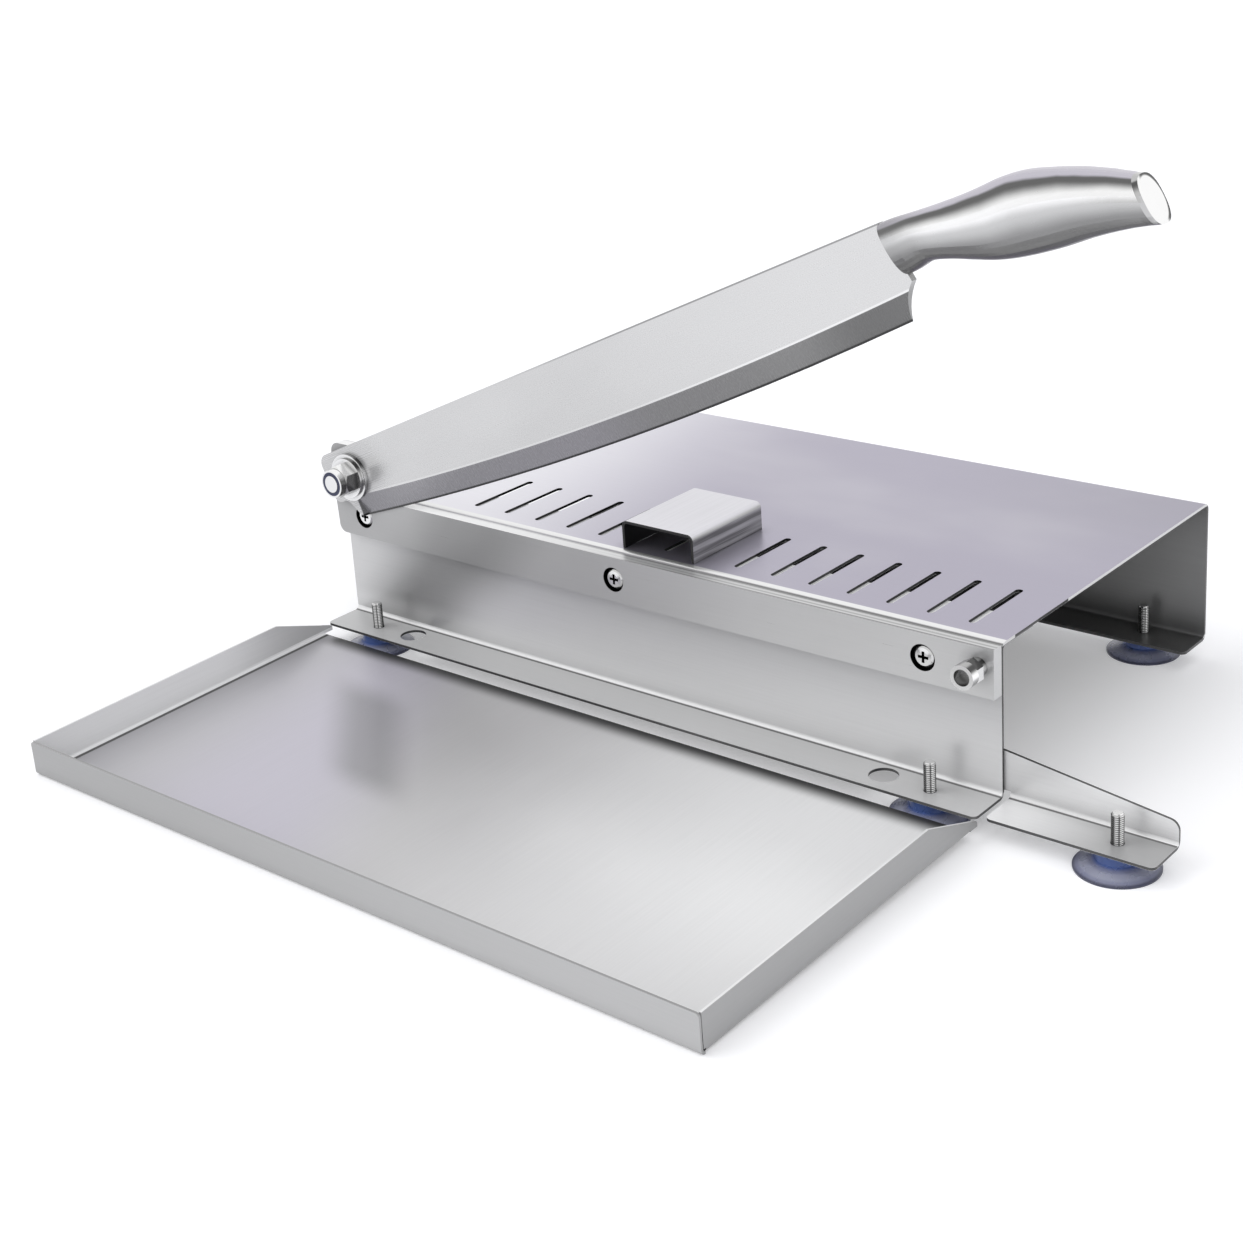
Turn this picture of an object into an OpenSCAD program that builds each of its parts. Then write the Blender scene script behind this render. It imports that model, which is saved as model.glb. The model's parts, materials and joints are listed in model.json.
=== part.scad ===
// Manual rib cutter: a bent-sheet table with a fixed shear bar, a long blade on a pivot bolt,
// suction feet, a loose catch tray and a lift-out length stop.
// Sizes are in millimetres. X runs along the shear bar from the pivot to the handle, Y from the
// front to the back and Z up from the bench. Every module is drawn with the table's left front
// edge at X = 0, Y = 0 and is then moved so that the origin lies under the middle of the whole.

/* [Table] */
// Length of the table along the shear bar
table_l = 440; // [380:1:520]
// Depth of the table from the front wall to the rear wall
table_d = 218.6; // [190:0.2:260]
// Height of the table top above the bench
table_h = 90; // [84:1:110]
// Thickness of the table's sheet
sheet = 1.5; // [1.2:0.1:2]
// Inner radius of the table's bends
bend_r = 2.5; // [2:0.25:3.5]
// Height of the foot flanges' top above the bench
foot_h = 12; // [11:0.5:14]
// Reach of the front foot flange in front of the wall
front_foot = 25; // [22:0.5:32]
// Reach of the rear foot flange under the table
rear_foot = 26; // [22:0.5:34]
// Radius of the flanges' plan corners
flange_corner_r = 3; // [1:0.5:5]

/* [Slots] */
// Distance from the table's left end to the first slot
slot_inset_left = 93.5; // [80:0.5:110]
// Least distance from the last slot to the table's right end
slot_inset_right = 24; // [20:1:40]
// Distance between slots
slot_pitch = 23; // [18:0.5:26]
// Width of a slot
slot_w = 4; // [3:0.25:5]
// Length of a slot
slot_l = 47.5; // [44:0.5:54]
// Distance from the front wall to a slot
slot_setback = 14; // [10:0.5:16]

/* [Backing angle] */
// Thickness of the angle inside the front wall
angle_t = 3; // [2:0.25:4]
// Reach of the angle's flange under the table top
angle_reach = 34.5; // [28:0.5:38]
// Gap between the angle's leg and the outrigger's web below it
angle_gap = 13.1; // [8:0.1:18]
// Distance from the angle's ends to the table's ends
angle_inset = 3; // [1:0.5:8]

/* [Shear bar] */
// Thickness of the fixed bar
bar_t = 7; // [6:0.5:10]
// Height of the fixed bar
bar_h = 25.2; // [22:0.2:30]
// Drop of the bar's top below the table top
bar_drop = 0.6; // [0.3:0.1:1.5]
// Half the width of the pivot ear
ear_half = 20; // [18:0.5:22]
// Rise of the ear above the pivot
ear_top = 17; // [15:0.5:20]
// Radius of the ear's upper corners
ear_corner_r = 6; // [3:0.5:10]
// Diameter of the counterbores for the bar's screws
counterbore_d = 13.6; // [12.5:0.1:15]
// Depth of the counterbores
counterbore_depth = 5; // [4.6:0.1:5.6]
// Distance from the bar's left end to its first screw
screw_inset_left = 21.8; // [18:0.2:30]
// Distance from the bar's right end to its last screw
screw_inset_right = 38.2; // [28:0.2:50]

/* [Blade] */
// Distance from the table's left end to the pivot
pivot_inset = 19.2; // [16:0.2:22]
// Height of the pivot above the table top
pivot_rise = 12.7; // [12:0.1:16]
// Angle at which the blade is shown raised
rest_angle = 23.9; // [10:0.1:60]
// Angle of the blade when it is shut
shut_angle = -0.2; // [-0.3:0.05:0.5]
// Thickness of the blade
blade_t = 4; // [3:0.1:5]
// Height of the spine above the pivot
spine_v = 17.5; // [16:0.1:20]
// Distance of the cutting edge's tip behind the pivot
tip_back = 2.6; // [0:0.2:4]
// Reach of the blade's tail behind the pivot
tail_u = 21.8; // [18:0.2:24]
// Drop of the tail's underside below the pivot
tail_v = 11.9; // [10:0.1:13]
// Drop of the cutting edge's tip below the pivot
tip_v = 24.3; // [20:0.1:26]
// Drop of the cutting edge's heel below the pivot
heel_v = 28.9; // [26:0.1:31]
// Belly of the cutting edge between tip and heel
belly = 7.8; // [6:0.1:10]
// Width of the ground bevel
bevel_w = 12.8; // [10:0.1:14]
// Thickness left at the cutting edge
edge_t = 0.6; // [0.3:0.1:1]
// Radius of the hollow in the blade's heel
choil_r = 30; // [28:0.5:34]

/* [Handle] */
// Length of the handle
handle_l = 125.6; // [115:0.2:145]
// Greatest height of the handle
handle_h = 36.4; // [30:0.2:40]
// Greatest width of the handle
handle_w = 24; // [21:0.5:26]
// Drop of the handle's end below the line of the pivot
handle_droop = 16.1; // [12:0.1:19]
// Thickness of the end cap
cap_t = 2.4; // [1.5:0.1:4]

/* [Pivot] */
// Diameter of the pivot bolt
pivot_d = 10; // [8:0.5:10]
// Outer diameter of the large washer
washer_d = 28; // [25:0.5:30]
// Thickness of the large washer
washer_t = 2.4; // [1.6:0.1:3]
// Outer diameter of the disc spring under the nut
disc_d = 23.5; // [21:0.5:25]
// Thickness of the disc spring
disc_t = 1.5; // [1:0.1:2]
// Width of the pivot nut across its flats
pivot_nut_af = 17; // [16:0.5:18]
// Height of the pivot nut's hexagon
pivot_nut_h = 7.8; // [6:0.2:8]
// Outer diameter of the pivot nut's collar
collar_d = 16.4; // [15.5:0.1:16.8]
// Height of the pivot nut's collar
collar_h = 3.8; // [2.8:0.1:4.4]
// Outer diameter of the nut's plastic locking ring
insert_d = 14.2; // [13:0.1:14.6]

/* [Stop] */
// Distance from the bar's right end to the stop's axis
stop_inset = 8.2; // [5.5:0.25:10]
// Height of the stop above the bar's underside
stop_rise = 15.2; // [12:0.2:17]
// Diameter of the sleeve that the blade lands on
sleeve_d = 9.6; // [9:0.5:12.4]
// Diameter of the stop's stud
stop_stud_d = 8; // [6:0.5:8]
// Width of the stop's long nut across its flats
stop_nut_af = 11; // [10:0.5:14]
// Length of the long nut's hexagon
stop_nut_h = 6.4; // [5:0.2:8]
// Diameter of the long nut's turned nose
nose_d = 12.2; // [11:0.1:12.8]
// Length of the turned nose
nose_h = 4.2; // [2:0.2:5]

/* [Feet] */
// Diameter of a suction cup
cup_d = 40; // [38:0.5:42]
// Diameter of a suction cup's hub
hub_d = 20; // [18:0.5:22]
// Height of a skirt's cone at the hub
skirt_h = 5; // [4.5:0.1:5.5]
// Thickness of a skirt at its rim
rim_t = 0.9; // [0.7:0.1:1.2]
// Depth of the hollow under a skirt
suction_h = 2; // [1.5:0.1:2.2]
// Diameter of a foot's stud
stud_d = 6; // [5:0.5:6]
// Height of a stud above its flange
stud_rise = 15.3; // [12:0.5:18]
// Distance from the table's ends to the feet
foot_inset = 31.5; // [28:0.5:36]
// Distance of the front feet in front of the wall
front_stud_out = 13.3; // [12:0.1:14]
// Distance of the rear feet inside the rear face
rear_stud_in = 10; // [9.6:0.1:16]
// Diameter of the two fixing holes in the front flange
fixing_hole_d = 15; // [12:0.5:16]
// Distance from the table's ends to the fixing holes
fixing_inset = 58.5; // [54:0.5:70]
// Distance of the fixing holes in front of the wall
fixing_out = 11.8; // [11:0.1:13]

/* [Outrigger] */
// Reach of the outrigger beyond the table
outrigger_l = 88; // [70:0.5:100]
// Length of the outrigger's web behind the front wall
outrigger_lap = 48; // [40:1:60]
// Height of the web at the table's end
web_h_near = 23.4; // [20:0.5:26]
// Height of the web at the outrigger's end
web_h_far = 11.4; // [8:0.2:14]
// Reach of the outrigger's foot flange in front of its web
outrigger_foot = 24.3; // [22:0.5:28]
// Gap between the table's flange and the outrigger's
outrigger_gap = 3.5; // [2:0.5:6]
// Distance from the outrigger's end to its foot
outrigger_foot_inset = 23.6; // [20.5:0.2:26]

/* [Tray] */
// Length of the tray
tray_l = 441.4; // [370:0.2:450]
// Depth of the tray
tray_d = 204; // [170:1:230]
// Height of the tray's walls
tray_h = 19.5; // [15:0.5:24]
// Thickness of the tray's sheet
tray_t = 1.2; // [0.8:0.1:1.5]
// Inner radius of the tray's bends
tray_bend_r = 1.4; // [1:0.1:2]
// Length of the slope at the rear of the side walls, up to their ends
tray_slope_l = 41.6; // [30:0.2:52]
// Height of the side walls at their rear ends
tray_tail_h = 4; // [3.4:0.2:8]
// Reach of the side walls behind the floor's rear edge
tray_tongue = 6.4; // [4:0.5:8]
// Width of the open seam at the tray's front corners
tray_seam = 0.4; // [0.3:0.1:1.2]
// Gap between the tray and the front feet's hubs
tray_gap = 3.6; // [2.5:0.1:6]
// Sideways offset of the tray from the table's middle
tray_shift = -2.3; // [-4:0.1:4]

/* [Length stop] */
// Depth of the length stop
block_l = 59.5; // [54:0.5:64]
// Height of the length stop above the table
block_h = 15.5; // [13:0.5:20]
// Thickness of its sheet
block_t = 1.5; // [1.2:0.1:2]
// Inner radius of its bends
block_bend_r = 2; // [1:0.25:3]
// Distance from the front wall to the length stop
block_setback = 6.3; // [5:0.1:8]
// Offset of its tabs from the middle of their slots
block_offset = 1.1; // [-1.1:0.1:1.1]
// Number of slot pitches between its two walls
block_pitches = 2; // [1:1:3]
// Count of the slots to the left of the one that its left wall stands in
block_left_count = 5; // [2:1:9]
// Depth of its tabs below the table top
tab_depth = 7; // [5:0.5:9]

/* [Hidden] */
$fn = 48;

// Overrun of every cut past the face that it opens
over = 1;
// Play between the blade and the faces that it slides on
blade_play = 0.15;
// Radial clearance of the blade on its bolt
pivot_clear = 0.05;
// Radial clearance of a fastener in its hole
hole_clear = 0.2;
// Clearance between a loose piece and what it rests against
rest_clear = 0.3;

// Sheet bends and heights
outer_r = bend_r + sheet;
foot_base = foot_h - sheet;
bar_top = table_h - bar_drop;
bar_base = bar_top - bar_h;
angle_top = table_h - sheet;
angle_low = foot_h + web_h_near + angle_gap;

// The bar's screws
screw_z = bar_base + bar_h / 2;
screw_first = screw_inset_left;
screw_last = table_l - screw_inset_right;
screw_xs = [screw_first, (screw_first + screw_last) / 2, screw_last];
screw_d = 6;
screw_head_d = 10.8;
screw_head_h = 4.5;
screw_dome = 0.9;
screw_slot_w = 1.5;
screw_slot_depth = 2.4;
screw_slot_l = 5.8;
screw_washer_d = 12;
screw_washer_t = 1.6;
screw_nut_af = 10;
screw_nut_h = 5;
screw_tail = 2;
screw_back = sheet + angle_t;

// The pivot, with its stack in front of the ear
pivot_x = pivot_inset;
pivot_z = table_h + pivot_rise;
blade_back = -bar_t - blade_play;
blade_front = blade_back - blade_t;
washer_back = blade_front - blade_play;
disc_back = washer_back - washer_t;
nut_back = disc_back - disc_t;
nut_front = nut_back - pivot_nut_h;
collar_front = nut_front - collar_h;
insert_t = 2.6;
bolt_end = collar_front - rest_clear;
head_washer_d = 20;
head_washer_t = 1.6;
head_af = 16;
head_h = 6.4;

// The stop, and the blade's heel, which is laid out from where the stop meets it
choil_drop_share = 0.197;
stop_x = table_l - stop_inset;
stop_z = bar_base + stop_rise;
stop_reach = norm([stop_x - pivot_x, stop_z - pivot_z]);
stop_angle = atan2(stop_z - pivot_z, stop_x - pivot_x) - shut_angle;
stop_u = stop_reach * cos(stop_angle);
stop_v = stop_reach * sin(stop_angle);
choil_v = -heel_v - choil_drop_share * choil_r;
choil_reach = choil_r - sleeve_d / 2 - rest_clear;
choil_u = stop_u + sqrt(pow(choil_reach, 2) - pow(stop_v - choil_v, 2));
heel_u = choil_u - sqrt(pow(choil_r, 2) - pow(heel_v + choil_v, 2));
shoulder_u = -tip_back;
nut_start = blade_front - blade_play;
nose_front = nut_start - stop_nut_h - nose_h;
stud_recess = 5;

// The cutting edge is one arc from the tip to the heel
chord = [heel_u - shoulder_u, tip_v - heel_v];
chord_l = norm(chord);
edge_r = (pow(chord_l / 2, 2) + pow(belly, 2)) / (2 * belly);
chord_mid = [(heel_u + shoulder_u) / 2, -(tip_v + heel_v) / 2];
edge_up = [-chord[1], chord[0]] / chord_l;
edge_centre = chord_mid + edge_up * (edge_r - belly);
// The arc is so wide that it needs this many sides to follow its true curve
edge_sides = 3600;

// The bolster, where the handle's front end meets the blade on a slant
bolster_slant = 5;
bolster_v = 8.4;
bolster_setback = 9.3;
bolster_bottom_u = heel_u + bolster_setback;
bolster_top_u = bolster_bottom_u - bolster_slant;
tang_l = 22;
tang_h = 14;
tang_v = 5.5;
tang_clear = 0.05;

// Feet
cup_top = foot_base;
cup_hub_taper = 0.5;
rim_w = 1;
stud_head_d = 11;
stud_head_h = 2.4;
stud_chamfer = 0.8;
front_y = -front_stud_out;
rear_y = table_d - rear_stud_in;
left_x = foot_inset;
right_x = table_l - foot_inset;
outrigger_end = table_l + outrigger_l;
outrigger_y = sheet - outrigger_foot / 2;
outrigger_x = outrigger_end - outrigger_foot_inset;

// Tray: its rear edge leans on the skirts of the two front cups, just clear of their hubs
tray_lean_d = hub_d / 2 + tray_gap;
skirt_slope = (skirt_h - rim_t) / (cup_d / 2 - hub_d / 2);
tray_lift = skirt_h - (tray_lean_d - hub_d / 2) * skirt_slope + rest_clear;
tray_tilt = asin(tray_lift / tray_d);
tray_back_y = front_y - tray_lean_d;
tray_front_y = tray_back_y - tray_d * cos(tray_tilt);
tray_left_x = (table_l - tray_l) / 2 + tray_shift;
tray_outer_r = tray_bend_r + tray_t;
wall_start = tray_t + tray_seam;
floor_start = tray_outer_r + tray_seam;
tongue_low = tray_t;
tray_corner_r = 2.5;
tongue_corner_r = 2;
seam_corner_r = 2;

// Length stop
slot_count = floor((table_l - slot_inset_left - slot_inset_right) / slot_pitch) + 1;
block_w = block_pitches * slot_pitch + block_t;
block_x = slot_inset_left + block_left_count * slot_pitch - block_t / 2 + block_offset;
block_outer_r = block_bend_r + block_t;
tab_margin = 2;
tab_start = angle_reach + tab_margin;
tab_end = slot_setback + slot_l - tab_margin;

// Shares of the handle: along its length, then the middle's place between the bolster's and
// the end's, the height and the width, each as a share of the greatest
handle_mid_v = 4.3;
end_lean_share = 0.09;
handle_shares = [
    // along, middle, height, width
    [0.00, 0.000, 0.709, 0.62],
    [0.05, -0.010, 0.698, 0.70],
    [0.12, -0.024, 0.643, 0.74],
    [0.20, 0.053, 0.692, 0.79],
    [0.27, 0.144, 0.769, 0.84],
    [0.36, 0.249, 0.868, 0.92],
    [0.44, 0.306, 0.942, 0.97],
    [0.52, 0.335, 0.995, 1.00],
    [0.62, 0.395, 0.995, 1.00],
    [0.74, 0.517, 0.890, 1.00],
    [0.82, 0.632, 0.810, 0.97],
    [0.90, 0.775, 0.722, 0.89],
    [0.96, 0.909, 0.655, 0.79],
    [1.00, 1.000, 0.621, 0.735]];
handle_sides = 36;
handle_steps = 3;
handle_square = 2.5;

// The origin is under the middle of the box round the whole cutter
tail_corner_r = 6;
slope_r = 5;
span_left = pivot_x - (tail_u - tail_corner_r) * cos(rest_angle)
            - (spine_v - tail_corner_r) * sin(rest_angle) - tail_corner_r;
end_half = half_h(1);
end_u = bolster_bottom_u - bolster_slant / 2 + handle_l + lean(1) * end_half;
span_right = max(pivot_x + end_u * cos(rest_angle) + (handle_droop + end_half) * sin(rest_angle),
                 outrigger_end);
origin_x = (span_left + span_right) / 2;
origin_y = (tray_front_y + rear_y + cup_d / 2) / 2;

// Shared shapes

function unit(v) = v / norm(v);

// Points of an arc about c, from one angle to another
function arc_pts(c, r, from, to, n = 8) =
    [for (i = [0 : n]) c + r * [cos(from + (to - from) * i / n), sin(from + (to - from) * i / n)]];

// An outline whose corner i is rounded to radius radii[i], where zero leaves it sharp
function rounded(pts, radii) =
    [for (i = [0 : len(pts) - 1])
        let (b = pts[i],
             u = unit(pts[(i + len(pts) - 1) % len(pts)] - b),
             v = unit(pts[(i + 1) % len(pts)] - b),
             half = acos(u * v) / 2,
             c = b + unit(u + v) * radii[i] / sin(half),
             p = b + u * radii[i] / tan(half) - c,
             q = b + v * radii[i] / tan(half) - c,
             start = atan2(p[1], p[0]),
             turn = atan2(p[0] * q[1] - p[1] * q[0], p * q))
        each radii[i] == 0 ? [b] : arc_pts(c, radii[i], start, start + turn)];

// Value of a table of shares at t, eased between its rows
function row_at(t, k = 0) = t <= handle_shares[k + 1][0] || k == len(handle_shares) - 2 ? k : row_at(t, k + 1);
function eased(a, b, c, d, f) =
    ((2 * b) + (c - a) * f + (2 * a - 5 * b + 4 * c - d) * f * f + (3 * b - a - 3 * c + d) * f * f * f) / 2;
function share_at(t, column) =
    let (k = row_at(t),
         last = len(handle_shares) - 1,
         p = handle_shares[max(k - 1, 0)],
         q = handle_shares[k],
         r = handle_shares[k + 1],
         s = handle_shares[min(k + 2, last)],
         f = (t - q[0]) / (r[0] - q[0]))
    eased(p[column], q[column], r[column], s[column], f);

// Moves a piece from the table's frame to the part's frame
module in_frame() {
    translate([-origin_x, -origin_y, 0])
        children();
}

// Moves a piece that is drawn from the pivot, with the blade level, to the raised blade
module on_blade() {
    translate([pivot_x, 0, pivot_z])
        rotate([0, -rest_angle, 0])
            children();
}

// Extrudes an outline in Y and Z along X
module along_x(from, to) {
    translate([from, 0, 0])
        rotate([90, 0, 90])
            linear_extrude(to - from)
                children();
}

// Extrudes an outline in X and Z along Y
module along_y(from, to) {
    translate([0, to, 0])
        rotate([90, 0, 0])
            linear_extrude(to - from)
                children();
}

// A round bar along Y
module rod_y(x, z, d, from, to) {
    translate([x, to, z])
        rotate([90, 0, 0])
            cylinder(d = d, h = to - from);
}

// A hexagonal bar along Y, with a corner up
module hex_y(x, z, af, from, to) {
    translate([x, to, z])
        rotate([90, 0, 0])
            rotate(30)
                cylinder(d = af / cos(30), h = to - from, $fn = 6);
}

// A hexagon along Y whose front corners are turned off
module turned_hex_y(x, z, af, from, to) {
    corner_d = af / cos(30);
    cut = (corner_d - af) / 2;
    intersection() {
        hex_y(x, z, af, from, to);
        translate([x, to, z])
            rotate([90, 0, 0])
                rotate_extrude()
                    polygon([[0, 0], [corner_d / 2, 0], [corner_d / 2, to - from - cut],
                             [af / 2, to - from], [0, to - from]]);
    }
}

// A quarter of a bent sheet's corner, whose outer side faces the corner (sy, sz)
module bend(c, r, t, sy, sz) {
    translate(c)
        intersection() {
            difference() {
                circle(r + t);
                circle(r);
            }
            translate([sy > 0 ? 0 : -r - t, sz > 0 ? 0 : -r - t])
                square(r + t);
        }
}

// Cuts a plan corner to radius r, where (sx, sy) points out of the corner
module corner_cut(x, y, sx, sy, r, low, high) {
    translate([x, y, low - over])
        difference() {
            translate([sx > 0 ? -r : -over, sy > 0 ? -r : -over, 0])
                cube([r + over, r + over, high - low + 2 * over]);
            translate([-sx * r, -sy * r, -over])
                cylinder(r = r, h = high - low + 4 * over);
        }
}

// A slot with round ends that runs back from its front end
module slot_cut(x, y, w, l, low, high) {
    translate([x, y, low]) {
        translate([-w / 2, w / 2, 0])
            cube([w, l - w, high - low]);
        for (end = [w / 2, l - w / 2])
            translate([0, end, 0])
                cylinder(d = w, h = high - low);
    }
}

// Outline of the table's bent sheet, in Y and Z
module table_profile() {
    translate([outer_r, table_h - sheet])
        square([table_d - 2 * outer_r, sheet]);
    bend([outer_r, table_h - outer_r], bend_r, sheet, -1, 1);
    bend([table_d - outer_r, table_h - outer_r], bend_r, sheet, 1, 1);
    translate([0, foot_h + bend_r])
        square([sheet, table_h - outer_r - foot_h - bend_r]);
    bend([-bend_r, foot_h + bend_r], bend_r, sheet, 1, -1);
    translate([-front_foot, foot_base])
        square([front_foot - bend_r, sheet]);
    translate([table_d - sheet, foot_base + outer_r])
        square([sheet, table_h - foot_base - 2 * outer_r]);
    bend([table_d - outer_r, foot_base + outer_r], bend_r, sheet, 1, -1);
    translate([table_d - rear_foot, foot_base])
        square([rear_foot - outer_r, sheet]);
}

// Slots, screw holes, stud holes, fixing holes and round flange corners
module table_cuts() {
    for (i = [0 : slot_count - 1])
        slot_cut(slot_inset_left + i * slot_pitch, slot_setback, slot_w, slot_l,
                 table_h - sheet - over, table_h + over);
    for (x = screw_xs)
        rod_y(x, screw_z, screw_d + 2 * hole_clear, -over, sheet + over);
    for (x = [left_x, right_x], y = [front_y, rear_y])
        translate([x, y, foot_base - over])
            cylinder(d = stud_d + 2 * hole_clear, h = sheet + 2 * over);
    for (x = [fixing_inset, table_l - fixing_inset])
        translate([x, -fixing_out, foot_base - over])
            cylinder(d = fixing_hole_d, h = sheet + 2 * over);
    for (end = [[0, -1], [table_l, 1]]) {
        corner_cut(end[0], -front_foot, end[1], -1, flange_corner_r, foot_base, foot_h);
        corner_cut(end[0], table_d - rear_foot, end[1], -1, flange_corner_r, foot_base, foot_h);
    }
}

module table() {
    color("silver")
        in_frame()
            difference() {
                along_x(0, table_l)
                    table_profile();
                table_cuts();
            }
}

// The angle behind the front wall that stiffens it and closes the front half of the slots
module backing_angle() {
    color("gainsboro")
        in_frame()
            difference() {
                along_x(angle_inset, table_l - angle_inset) {
                    translate([sheet + outer_r, angle_top - angle_t])
                        square([angle_reach - sheet - outer_r, angle_t]);
                    bend([sheet + outer_r, angle_top - outer_r], outer_r - angle_t, angle_t, -1, 1);
                    translate([sheet, angle_low])
                        square([angle_t, angle_top - outer_r - angle_low]);
                }
                for (x = screw_xs)
                    rod_y(x, screw_z, screw_d + 2 * hole_clear, 0, screw_back + over);
            }
}

// The outrigger's web clears the bend of the table's front flange
web_low = foot_base + outer_r + rest_clear;
web_corner_r = 5;

module outrigger() {
    foot_start = table_l + outrigger_gap;
    web = [[table_l - outrigger_lap, web_low],
           [foot_start, web_low],
           [foot_start, foot_h + bend_r],
           [outrigger_end, foot_h + bend_r],
           [outrigger_end, foot_h + web_h_far],
           [table_l, foot_h + web_h_near],
           [table_l - outrigger_lap, foot_h + web_h_near]];
    color("gainsboro")
        in_frame()
            difference() {
                union() {
                    along_y(sheet, 2 * sheet)
                        polygon(rounded(web, [0, 0, 0, 0, web_corner_r, 0, web_corner_r]));
                    along_x(foot_start, outrigger_end) {
                        bend([sheet - bend_r, foot_h + bend_r], bend_r, sheet, 1, -1);
                        translate([sheet - outrigger_foot, foot_base])
                            square([outrigger_foot - bend_r, sheet]);
                    }
                }
                translate([outrigger_x, outrigger_y, foot_base - over])
                    cylinder(d = stud_d + 2 * hole_clear, h = sheet + 2 * over);
                for (end = [[foot_start, -1], [outrigger_end, 1]])
                    corner_cut(end[0], sheet - outrigger_foot, end[1], -1, flange_corner_r,
                               foot_base, foot_h);
            }
}

// Corners of the bar, and the rise of its left end to the ear
bar_corner_r = 6;
ear_drop = 20;

module bar_outline() {
    outline = [[table_l, bar_base],
               [table_l, bar_top],
               [pivot_x + ear_half, bar_top],
               [pivot_x + ear_half, pivot_z + ear_top],
               [pivot_x - ear_half, pivot_z + ear_top],
               [pivot_x - ear_half, bar_base + ear_drop],
               [0, bar_base + bar_corner_r],
               [0, bar_base]];
    polygon(rounded(outline, [0, 0, 0, ear_corner_r, ear_corner_r, 0, 0, bar_corner_r - over]));
}

module fixed_bar() {
    color("lightgray")
        in_frame()
            difference() {
                along_y(-bar_t, 0)
                    bar_outline();
                rod_y(pivot_x, pivot_z, pivot_d + 2 * pivot_clear, -bar_t - over, over);
                for (x = screw_xs) {
                    rod_y(x, screw_z, counterbore_d, -bar_t - over, -bar_t + counterbore_depth);
                    rod_y(x, screw_z, screw_d + 2 * hole_clear, -bar_t - over, over);
                }
                rod_y(stop_x, stop_z, stop_stud_d, -bar_t - over, over);
            }
}

// A pan-head screw with a cross recess, seated in its counterbore
module bar_screw(x) {
    seat = -bar_t + counterbore_depth;
    tail_end = screw_back + screw_washer_t + screw_nut_h + screw_tail;
    difference() {
        union() {
            rod_y(x, screw_z, screw_d, seat - over, tail_end);
            translate([x, seat, screw_z])
                rotate([90, 0, 0])
                    rotate_extrude()
                        polygon([[0, 0], [screw_head_d / 2, 0],
                                 [screw_head_d / 2, screw_head_h - screw_dome],
                                 [screw_head_d / 2 - screw_dome, screw_head_h - screw_dome / 3],
                                 [screw_head_d / 4, screw_head_h], [0, screw_head_h]]);
        }
        for (turn = [0, 90])
            translate([x, seat - screw_head_h + screw_slot_depth, screw_z])
                rotate([90, turn, 0])
                    translate([-screw_slot_l / 2, -screw_slot_w / 2, 0])
                        cube([screw_slot_l, screw_slot_w, screw_slot_depth + over]);
    }
}

module bar_screws() {
    color("darkgray")
        in_frame()
            for (x = screw_xs)
                bar_screw(x);
}

module bar_screw_washers() {
    color("silver")
        in_frame()
            for (x = screw_xs)
                difference() {
                    rod_y(x, screw_z, screw_washer_d, screw_back, screw_back + screw_washer_t);
                    rod_y(x, screw_z, screw_d + 2 * hole_clear, 0, screw_back + screw_washer_t + over);
                }
}

module bar_screw_nuts() {
    start = screw_back + screw_washer_t;
    color("darkgray")
        in_frame()
            for (x = screw_xs)
                difference() {
                    hex_y(x, screw_z, screw_nut_af, start, start + screw_nut_h);
                    rod_y(x, screw_z, screw_d, start - over, start + screw_nut_h + over);
                }
}

// A flat ring along Y
module ring_y(x, z, outer, inner, from, to) {
    difference() {
        rod_y(x, z, outer, from, to);
        rod_y(x, z, inner, from - over, to + over);
    }
}

module pivot_bolt() {
    color("gainsboro")
        in_frame() {
            rod_y(pivot_x, pivot_z, pivot_d, bolt_end, head_washer_t + over);
            hex_y(pivot_x, pivot_z, head_af, head_washer_t, head_washer_t + head_h);
        }
}

module pivot_head_washer() {
    color("silver")
        in_frame()
            ring_y(pivot_x, pivot_z, head_washer_d, pivot_d + 2 * pivot_clear, 0, head_washer_t);
}

module pivot_washer() {
    color("silver")
        in_frame()
            ring_y(pivot_x, pivot_z, washer_d, pivot_d + 2 * pivot_clear, disc_back, washer_back);
}

module pivot_disc_spring() {
    color("gray")
        in_frame()
            ring_y(pivot_x, pivot_z, disc_d, pivot_d + 2 * pivot_clear, nut_back, disc_back);
}

module pivot_nut() {
    color("gainsboro")
        in_frame()
            difference() {
                union() {
                    turned_hex_y(pivot_x, pivot_z, pivot_nut_af, nut_front, nut_back);
                    rod_y(pivot_x, pivot_z, collar_d, collar_front, nut_front + over);
                }
                rod_y(pivot_x, pivot_z, pivot_d, collar_front - over, nut_back + over);
                rod_y(pivot_x, pivot_z, insert_d, collar_front - over, collar_front + insert_t);
            }
}

module pivot_nut_insert() {
    color("midnightblue")
        in_frame()
            ring_y(pivot_x, pivot_z, insert_d, pivot_d, collar_front, collar_front + insert_t);
}

// The stud is screwed through the bar and ends at the table's wall
module stop_stud() {
    color("gray")
        in_frame()
            rod_y(stop_x, stop_z, stop_stud_d, nose_front + stud_recess, 0);
}

// The sleeve that the blade's heel lands on
module stop_sleeve() {
    color("silver")
        in_frame()
            ring_y(stop_x, stop_z, sleeve_d, stop_stud_d, nut_start, -bar_t);
}

module stop_nut() {
    color("gainsboro")
        in_frame()
            difference() {
                union() {
                    turned_hex_y(stop_x, stop_z, stop_nut_af, nut_start - stop_nut_h, nut_start);
                    rod_y(stop_x, stop_z, nose_d, nose_front, nut_start - stop_nut_h + over);
                }
                rod_y(stop_x, stop_z, stop_stud_d, nose_front - over, nut_start + over);
            }
}

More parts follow.
